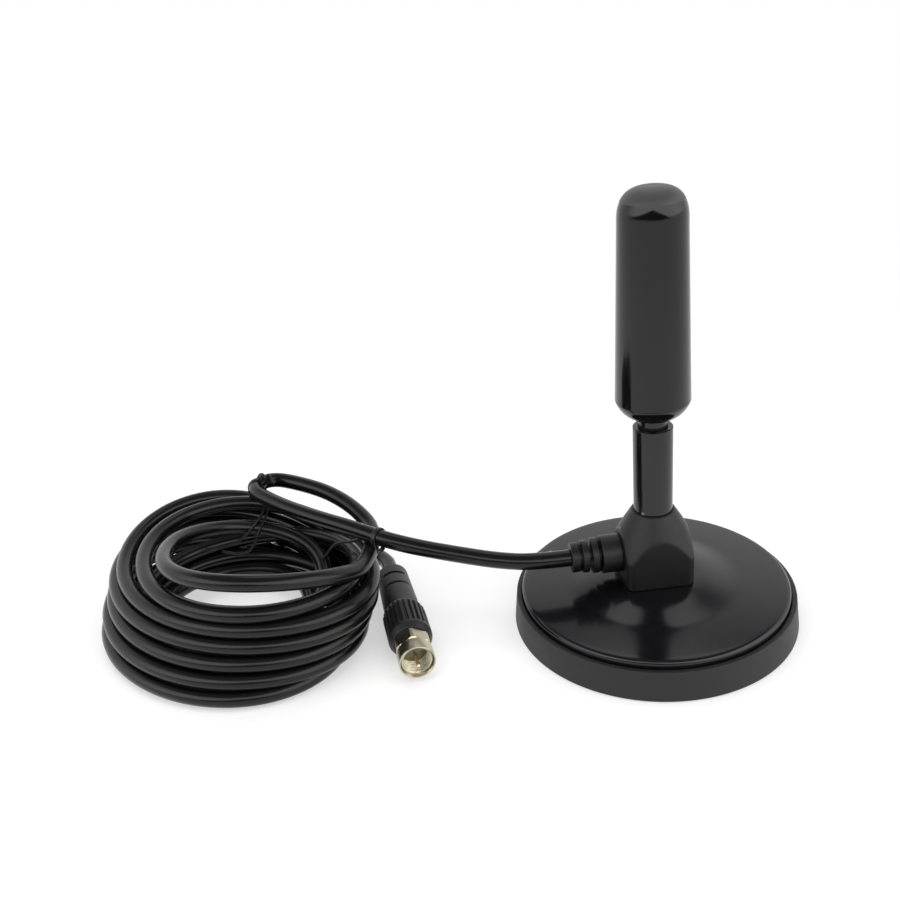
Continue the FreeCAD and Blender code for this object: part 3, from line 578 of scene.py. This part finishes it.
def sweepStrip(path, flat, strip, thickness, closed=False):
    # a rounded oblong carried along the path, its long side along the flat direction
    ahead = np.roll(path, -1, 0) - np.roll(path, 1, 0) if closed else np.gradient(path, axis=0)
    ahead /= np.linalg.norm(ahead, axis=1)[:, None]
    across = flat - (flat * ahead).sum(1)[:, None] * ahead
    across /= np.linalg.norm(across, axis=1)[:, None]
    out = np.cross(ahead, across)
    v = ringAngles(16)
    wide, thick = (size / 2 * np.sign(wave) * np.abs(wave) ** ties["stripPower"]
                   for size, wave in ((strip, np.cos(v)), (thickness, np.sin(v))))
    grid = path[:, None] + wide[None, :, None] * across[:, None]
    grid = grid + thick[None, :, None] * out[:, None]
    if closed:
        return np.vstack([grid, grid[:1]]) * mm
    ends = np.repeat(path[[0, -1]][:, None], len(v), 1)
    return np.vstack([ends[:1], grid, ends[1:]]) * mm


def addTie(name, t, size):
    # loop: half circles above and below, joined by straight sides
    turn = math.radians(t["heading"])
    across = np.array([-math.sin(turn), math.cos(turn), 0])
    forward = np.array([math.cos(turn), math.sin(turn), 0])
    half = (size["width"] - size["thickness"]) / 2
    lift = (t["height"] - size["width"]) / 2
    u = ringAngles(144)
    loop = np.array(t["at"]) + np.outer(half * np.cos(u), across)
    loop[:, 2] += half * np.sin(u) + lift * np.clip(np.sin(u) * size["sideSlope"], -1, 1)
    pieces = [sweepStrip(loop, forward, size["strip"], size["thickness"], True)]
    for tail in t["tails"]:
        line, flat = curveThrough(tail, size["tailPoints"]), np.array(size["tailFlat"])
        pieces.append(sweepStrip(line, flat, size["tailStrip"], size["tailThickness"]))
    if t["twist"]:
        # two strands wound round one line, half a turn apart
        core = curveThrough(t["twist"], size["strandPoints"])
        swing = np.linspace(0, size["strandHalfTurns"] * np.pi, size["strandPoints"])
        side = np.stack([size["strandTilt"] * np.sin(swing), np.cos(swing), np.sin(swing)], 1)
        for way in (1, -1):
            strand = core + way * size["strandAway"] * side
            pieces.append(sweepStrip(strand, side, size["strandStrip"], size["strandThickness"]))
    return addSurface(name, *pieces)


tiePieces = [addTie("coilTieLeft", ties["left"], ties), addTie("coilTieRight", ties["right"], ties)]
print("ties made")


# shared shader effects
def newGroup(name, inputs, outputs):
    group = bpy.data.node_groups.new(name, "ShaderNodeTree")
    for label, kind, default in inputs:
        socket = group.interface.new_socket(label, in_out="INPUT", socket_type=kind)
        if default is not None:
            socket.default_value = default
    for label, kind in outputs:
        group.interface.new_socket(label, in_out="OUTPUT", socket_type=kind)
    start = group.nodes.new("NodeGroupInput")
    end = group.nodes.new("NodeGroupOutput")
    return group, start, end


def addNode(tree, kind, **values):
    node = tree.nodes.new(kind)
    for key, value in values.items():
        if key in node.inputs:
            node.inputs[key].default_value = value
        else:
            setattr(node, key, value)
    return node


def feed(tree, socket, value):
    # an output is linked, a number or a colour is set
    if isinstance(value, bpy.types.NodeSocket):
        tree.links.new(value, socket)
    else:
        socket.default_value = value


def mathNode(tree, operation, *values):
    node = addNode(tree, "ShaderNodeMath", operation=operation)
    for socket, value in zip(node.inputs, values):
        feed(tree, socket, value)
    return node.outputs[0]


def rampNode(tree, value, start, end, first, last, kind="SMOOTHSTEP"):
    ramp = addNode(tree, "ShaderNodeMapRange", interpolation_type=kind)
    tree.links.new(value, ramp.inputs["Value"])
    limits = {"From Min": start, "From Max": end, "To Min": first, "To Max": last}
    for socket, amount in limits.items():
        ramp.inputs[socket].default_value = amount
    return ramp.outputs["Result"]


# the part of a noise's range that most of it falls in
noiseSpan = (0.3, 0.7)


def rangeNode(tree, noise, low, high):
    return rampNode(tree, noise, *noiseSpan, low, high, "LINEAR")


# the two inputs and the output that a mix of each kind uses
mixSockets = {"FLOAT": (2, 3, 0), "RGBA": (6, 7, 2)}


def mixNode(tree, kind, factor, first, second):
    node = addNode(tree, "ShaderNodeMix", data_type=kind)
    a, b, result = mixSockets[kind]
    for socket, value in ((0, factor), (a, first), (b, second)):
        feed(tree, node.inputs[socket], value)
    return node.outputs[result]


def makeSurfaceGroup():
    # fine grain for the bump, and a slow drift of handling marks for the tone and the gloss
    group, start, end = newGroup("mouldedSurface", [
        ("Vector", "NodeSocketVector", None), ("Grain Scale", "NodeSocketFloat", 900.0),
        ("Mark Scale", "NodeSocketFloat", 60.0),
    ], [("Grain", "NodeSocketFloat"), ("Marks", "NodeSocketFloat")])
    grain = addNode(group, "ShaderNodeTexNoise", Detail=3.0, Roughness=0.6)
    marks = addNode(group, "ShaderNodeTexNoise", Detail=5.0, Roughness=0.65, Distortion=0.6)
    for node, scale in ((grain, "Grain Scale"), (marks, "Mark Scale")):
        group.links.new(start.outputs["Vector"], node.inputs["Vector"])
        group.links.new(start.outputs[scale], node.inputs["Scale"])
    group.links.new(grain.outputs["Fac"], end.inputs["Grain"])
    group.links.new(marks.outputs["Fac"], end.inputs["Marks"])
    return group


# a speck fades out between these shares of its size
speckFade = (1.0, 0.5)


def makeDustGroup():
    # round specks: voronoi cells whose random value is under the share, cut to a small radius
    group, start, end = newGroup("dustSpecks", [
        ("Vector", "NodeSocketVector", None), ("Scale", "NodeSocketFloat", 260.0),
        ("Share", "NodeSocketFloat", 0.03), ("Size", "NodeSocketFloat", 0.16),
    ], [("Mask", "NodeSocketFloat")])
    cells = addNode(group, "ShaderNodeTexVoronoi", feature="F1")
    group.links.new(start.outputs["Vector"], cells.inputs["Vector"])
    group.links.new(start.outputs["Scale"], cells.inputs["Scale"])
    split = addNode(group, "ShaderNodeSeparateColor")
    group.links.new(cells.outputs["Color"], split.inputs["Color"])
    chosen = mathNode(group, "LESS_THAN", split.outputs["Red"], start.outputs["Share"])
    ratio = mathNode(group, "DIVIDE", cells.outputs["Distance"], start.outputs["Size"])
    soft = rampNode(group, ratio, *speckFade, 0, 1)
    group.links.new(mathNode(group, "MULTIPLY", chosen, soft), end.inputs["Mask"])
    return group


surfaceGroup = makeSurfaceGroup()
dustGroup = makeDustGroup()


# one row a finish: two tones, roughness range, grain scale and depth, scale of the marks, and
# where it has them, the share and scale of dust and other sockets
finishes = {
    "glossPaint": dict(
        tones=((0.0042, 0.0038, 0.0052), (0.0068, 0.0062, 0.008)), rough=(0.13, 0.2),
        grain=(500, 0.008), marks=45, dust=(0.035, 210), sockets={"Specular IOR Level": 0.45}),
    "glossMoulding": dict(
        tones=((0.004, 0.0042, 0.004), (0.007, 0.0072, 0.007)), rough=(0.09, 0.15),
        grain=(420, 0.008), marks=70, dust=(0.012, 240)),
    "bootRubber": dict(
        tones=((0.0072, 0.0073, 0.0076), (0.0106, 0.0107, 0.0111)), rough=(0.5, 0.62),
        grain=(1300, 0.05), marks=90, dust=(0.02, 320)),
    "mattMoulding": dict(
        tones=((0.006, 0.0062, 0.006), (0.0095, 0.0097, 0.0092)), rough=(0.38, 0.48),
        grain=(1100, 0.05), marks=110, dust=(0.01, 300), sockets={"Specular IOR Level": 0.33}),
    "cableJacket": dict(
        tones=((0.0035, 0.0036, 0.0035), (0.0065, 0.0066, 0.0062)), rough=(0.18, 0.27),
        grain=(800, 0.03), marks=55, dust=(0.014, 260), sockets={"Specular IOR Level": 0.34}),
    "tieCoating": dict(
        tones=((0.005, 0.005, 0.005), (0.009, 0.009, 0.009)), rough=(0.35, 0.45),
        grain=(900, 0.03), marks=120),
    "bootMoulding": dict(
        tones=((0.009, 0.0092, 0.009), (0.013, 0.0132, 0.0128)), rough=(0.42, 0.52),
        grain=(1200, 0.06), marks=120, dust=(0.012, 330)),
    "padFoam": dict(
        tones=((0.02, 0.02, 0.02), (0.05, 0.05, 0.05)), rough=(0.85, 0.95),
        grain=(1500, 0.4), marks=200),
    "ferrite": dict(
        tones=((0.07, 0.07, 0.07), (0.11, 0.11, 0.11)), rough=(0.6, 0.75),
        grain=(900, 0.15), marks=150),
    "board": dict(
        tones=((0.02, 0.11, 0.05), (0.03, 0.14, 0.07)), rough=(0.35, 0.45),
        grain=(1500, 0.05), marks=150),
    "whiteCore": dict(
        tones=((0.55, 0.55, 0.5), (0.62, 0.62, 0.57)), rough=(0.4, 0.5),
        grain=(1500, 0.04), marks=300, sockets={"Subsurface Weight": 0.1}),
    "nickel": dict(
        tones=((0.49, 0.45, 0.32), (0.59, 0.55, 0.42)), rough=(0.26, 0.36),
        grain=(1600, 0.015), marks=240, sockets={"Metallic": 1.0}),
    "copper": dict(
        tones=((0.86, 0.7, 0.45), (0.92, 0.78, 0.55)), rough=(0.22, 0.3),
        grain=(1600, 0.02), marks=260, sockets={"Metallic": 1.0}),
    "steel": dict(
        tones=((0.5, 0.5, 0.5), (0.6, 0.6, 0.6)), rough=(0.3, 0.4),
        grain=(1500, 0.03), marks=200, sockets={"Metallic": 1.0}),
}
# the head is the gloss moulding with a rougher crown, whose lighter grey tone is a painted sheen
# standing for the overhead light
finishes["headMouldingPaintedSheen"] = dict(
    finishes["glossMoulding"], sockets={"Specular IOR Level": 0.42},
    crown=dict(low=0.1288, high=0.1294, tone=(0.056, 0.0562, 0.0568), rough=0.46))
dustTone = (0.22, 0.21, 0.18, 1)
bumpDistance = 0.0004


def makeFinish(name, f):
    material = bpy.data.materials.new(name)
    material.use_nodes = True
    tree = material.node_tree
    shader = tree.nodes["Principled BSDF"]
    for socket, value in f.get("sockets", {}).items():
        shader.inputs[socket].default_value = value
    place = addNode(tree, "ShaderNodeTexCoord").outputs["Object"]
    surface = addNode(tree, "ShaderNodeGroup", node_tree=surfaceGroup)
    surface.inputs["Grain Scale"].default_value = f["grain"][0]
    surface.inputs["Mark Scale"].default_value = f["marks"]
    tree.links.new(place, surface.inputs["Vector"])
    marks = surface.outputs["Marks"]
    tones = [(*tone, 1) for tone in f["tones"]]
    colour = mixNode(tree, "RGBA", rangeNode(tree, marks, 0, 1), *tones)
    rough = rangeNode(tree, marks, *f["rough"])
    if "dust" in f:
        dust = addNode(tree, "ShaderNodeGroup", node_tree=dustGroup)
        dust.inputs["Share"].default_value, dust.inputs["Scale"].default_value = f["dust"]
        tree.links.new(place, dust.inputs["Vector"])
        colour = mixNode(tree, "RGBA", dust.outputs["Mask"], colour, dustTone)
    # crown: the lighter grey near the top of the head is a painted sheen standing for the overhead
    # light, and the higher roughness there is real
    if "crown" in f:
        crown = f["crown"]
        height = addNode(tree, "ShaderNodeSeparateXYZ")
        tree.links.new(place, height.inputs["Vector"])
        near = rampNode(tree, height.outputs["Z"], crown["low"], crown["high"], 0, 1)
        colour = mixNode(tree, "RGBA", near, colour, (*crown["tone"], 1))
        rough = mixNode(tree, "FLOAT", near, rough, crown["rough"])
    tree.links.new(colour, shader.inputs["Base Color"])
    tree.links.new(rough, shader.inputs["Roughness"])
    bump = addNode(tree, "ShaderNodeBump", Strength=f["grain"][1], Distance=bumpDistance)
    tree.links.new(surface.outputs["Grain"], bump.inputs["Height"])
    tree.links.new(bump.outputs["Normal"], shader.inputs["Normal"])
    return material


materials = {name: makeFinish(name, f) for name, f in finishes.items()}
print("finishes made:", len(materials))

# every piece: what it stands for, its finish, its record slot and its body
dressing = [
    (bootPiece, ("base_boot",), "bootRubber", "boot_rubber", "antenna"),
    (dishPiece, ("base_dish",), "glossPaint", "gloss_paint", "antenna"),
    (blockPiece, ("foot_block",), "mattMoulding", "matt_moulding", "antenna"),
    (reliefPiece, ("strain_relief",), "mattMoulding", "matt_moulding", "antenna"),
    (stemPiece, ("stem_tube",), "glossMoulding", "gloss_paint", "antenna"),
    (headPlugPiece, ("head_plug",), "glossMoulding", "gloss_moulding", "antenna"),
    (coverPiece, ("head_cover",), "headMouldingPaintedSheen", "gloss_moulding", "antenna"),
    (plugBootPiece, ("plug_boot",), "bootMoulding", "boot_moulding", "antenna"),
    (nutPiece, ("plug_nut",), "nickel", "nickel", "nut"),
    (pinPiece, ("plug_pin",), "copper", "copper", "antenna"),
    (tiePieces[0], ("coil_tie_left",), "tieCoating", "tie_coating", "antenna"),
    (tiePieces[1], ("coil_tie_right",), "tieCoating", "tie_coating", "antenna"),
    (cablePiece, ("cable_lead", "cable_coil", "cable_tail"), "cableJacket", "cable_jacket",
     "antenna"),
]
for piece, stoodFor, finish, slot, body in dressing:
    piece.data.materials.clear()
    piece.data.materials.append(materials[finish])
    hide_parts(*stoodFor)
    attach(piece, body)
solids = {
    "base_pad": "padFoam", "ring_magnet": "ferrite", "block_screws": "steel",
    "radiator_board": "board", "feed_coax": "cableJacket", "plug_body": "nickel",
    "plug_dielectric": "whiteCore",
}
for node, finish in solids.items():
    nodes[node].data.materials.clear()
    nodes[node].data.materials.append(materials[finish])
print("pieces dressed")

# floor: white to the eye, with a soft shadow near the object
floorSetup = {
    "half": 3.0, "lines": 13, "drop": 0.0002, "grey": 0.55, "glow": 0.5,
    "middle": (-0.065, 0.01, 0), "fadeFrom": 0.18, "fadeTo": 0.5,
}


def addFloor(f):
    side = np.linspace(-f["half"], f["half"], f["lines"])
    x, y = np.meshgrid(side, side)
    spots = np.stack([x, y, np.full_like(x, -f["drop"])], -1).reshape(-1, 3)
    index = np.arange(x.size).reshape(x.shape)
    corners = [index[:-1, :-1], index[:-1, 1:], index[1:, 1:], index[1:, :-1]]
    mesh = bpy.data.meshes.new("floor")
    mesh.from_pydata(spots.tolist(), [], np.stack(corners, -1).reshape(-1, 4).tolist())
    floor = bpy.data.objects.new("floor", mesh)
    scene.collection.objects.link(floor)
    material = bpy.data.materials.new("paleFloor")
    material.use_nodes = True
    tree = material.node_tree
    tree.nodes.clear()
    out = addNode(tree, "ShaderNodeOutputMaterial")
    path = addNode(tree, "ShaderNodeLightPath").outputs
    seen = mathNode(tree, "MAXIMUM", path["Is Camera Ray"], path["Is Glossy Ray"])
    seen = mathNode(tree, "MAXIMUM", seen, path["Is Transmission Ray"])
    place = addNode(tree, "ShaderNodeTexCoord")
    distance = addNode(tree, "ShaderNodeVectorMath", operation="DISTANCE")
    tree.links.new(place.outputs["Object"], distance.inputs[0])
    distance.inputs[1].default_value = f["middle"]
    far = rampNode(tree, distance.outputs["Value"], f["fadeFrom"], f["fadeTo"], 0, 1)
    diffuse = addNode(tree, "ShaderNodeBsdfDiffuse", Color=(f["grey"],) * 3 + (1,))
    glow = addNode(tree, "ShaderNodeEmission")
    tree.links.new(mathNode(tree, "MULTIPLY", seen, f["glow"]), glow.inputs["Strength"])
    near = addNode(tree, "ShaderNodeAddShader")
    tree.links.new(diffuse.outputs[0], near.inputs[0])
    tree.links.new(glow.outputs[0], near.inputs[1])
    white = addNode(tree, "ShaderNodeEmission")
    mix = addNode(tree, "ShaderNodeMixShader")
    tree.links.new(mathNode(tree, "MULTIPLY", seen, far), mix.inputs["Fac"])
    tree.links.new(near.outputs[0], mix.inputs[1])
    tree.links.new(white.outputs[0], mix.inputs[2])
    tree.links.new(mix.outputs[0], out.inputs["Surface"])
    mesh.materials.append(material)


addFloor(floorSetup)

# light: a white surround, whose reflections hold a window, a dark card and a dark ceiling with
# one lamp, and three soft boxes
surround = {
    "seen": 1.0, "fill": 0.45, "overhead": 0.2, "dimFrom": 0.5, "dimTo": 0.74,
    "window": 2.4, "windowLow": -0.02, "windowHigh": 0.66, "windowSide": 0.4, "windowEdge": 0.05,
    "card": 0.06, "cardPeak": 0.42, "cardFall": 0.5, "cardMiddle": -0.24, "cardEdge": 0.03,
    "lamp": 1.2, "lampFacing": (0.14, 0.5, 0.85), "lampFrom": 0.95, "lampTo": 0.98,
}
softBoxes = [
    {"name": "topBox", "place": (-0.05, 0.1, 0.95), "size": (1.2, 0.9), "power": 5.5},
    {"name": "leftBox", "place": (-0.95, -0.5, 0.8), "size": (1.1, 0.6), "power": 3.6},
    {"name": "rightBox", "place": (0.85, -0.5, 0.8), "size": (1.1, 0.6), "power": 3.6},
]
boxAim = (-0.05, 0, 0.04)


def reflectedRoom(tree, setup):
    # white, darker towards the ceiling but for one lamp in it; in front a window from the
    # horizon up, with a card before it that falls to both sides from its peak
    place = addNode(tree, "ShaderNodeTexCoord").outputs["Generated"]
    split = addNode(tree, "ShaderNodeSeparateXYZ")
    tree.links.new(place, split.inputs["Vector"])
    across, ahead, rise = split.outputs
    facing = addNode(tree, "ShaderNodeVectorMath", operation="DOT_PRODUCT")
    tree.links.new(place, facing.inputs[0])
    facing.inputs[1].default_value = Vector(setup["lampFacing"]).normalized()
    toLamp = facing.outputs["Value"]
    ceiling = rampNode(
        tree, rise, setup["dimFrom"], setup["dimTo"], setup["seen"], setup["overhead"])
    lamp = rampNode(tree, toLamp, setup["lampFrom"], setup["lampTo"], 0, setup["lamp"])
    room = mathNode(tree, "MAXIMUM", ceiling, lamp)
    front = rampNode(tree, ahead, -setup["windowSide"], setup["windowSide"], 1, 0)
    foot, head, edge = setup["windowLow"], setup["windowHigh"], setup["windowEdge"]
    low = rampNode(tree, rise, foot, foot + edge, 0, 1)
    high = rampNode(tree, rise, head, head + edge, 1, 0)
    window = mathNode(tree, "MULTIPLY", front, mathNode(tree, "MULTIPLY", low, high))
    beside = mathNode(tree, "ABSOLUTE", mathNode(tree, "SUBTRACT", across, setup["cardMiddle"]))
    ridge = mathNode(tree, "ADD", rise, mathNode(tree, "MULTIPLY", beside, setup["cardFall"]))
    peak = setup["cardPeak"]
    under = rampNode(tree, ridge, peak, peak + setup["cardEdge"], 1, 0)
    card = mathNode(tree, "MULTIPLY", front, under)
    room = mixNode(tree, "FLOAT", window, room, setup["window"])
    return mixNode(tree, "FLOAT", card, room, setup["card"])


def addLight(setup, boxes):
    world = bpy.data.worlds.new("surround")
    scene.world = world
    world.use_nodes = True
    tree = world.node_tree
    back = tree.nodes["Background"]
    back.inputs["Color"].default_value = (1, 1, 1, 1)
    path = addNode(tree, "ShaderNodeLightPath").outputs
    mirror = mathNode(tree, "MAXIMUM", path["Is Glossy Ray"], path["Is Transmission Ray"])
    level = mixNode(tree, "FLOAT", mirror, setup["fill"], reflectedRoom(tree, setup))
    eye = mixNode(tree, "FLOAT", path["Is Camera Ray"], level, setup["seen"])
    tree.links.new(eye, back.inputs["Strength"])
    for b in boxes:
        data = bpy.data.lights.new(b["name"], "AREA")
        data.shape = "RECTANGLE"
        data.size, data.size_y = b["size"]
        data.energy = b["power"]
        box = bpy.data.objects.new(b["name"], data)
        place = Vector(b["place"])
        aim = (Vector(boxAim) - place).to_track_quat("-Z", "Y")
        box.matrix_world = Matrix.Translation(place) @ aim.to_matrix().to_4x4()
        box.visible_glossy = box.visible_camera = False
        scene.collection.objects.link(box)


addLight(surround, softBoxes)
print("floor and light set")
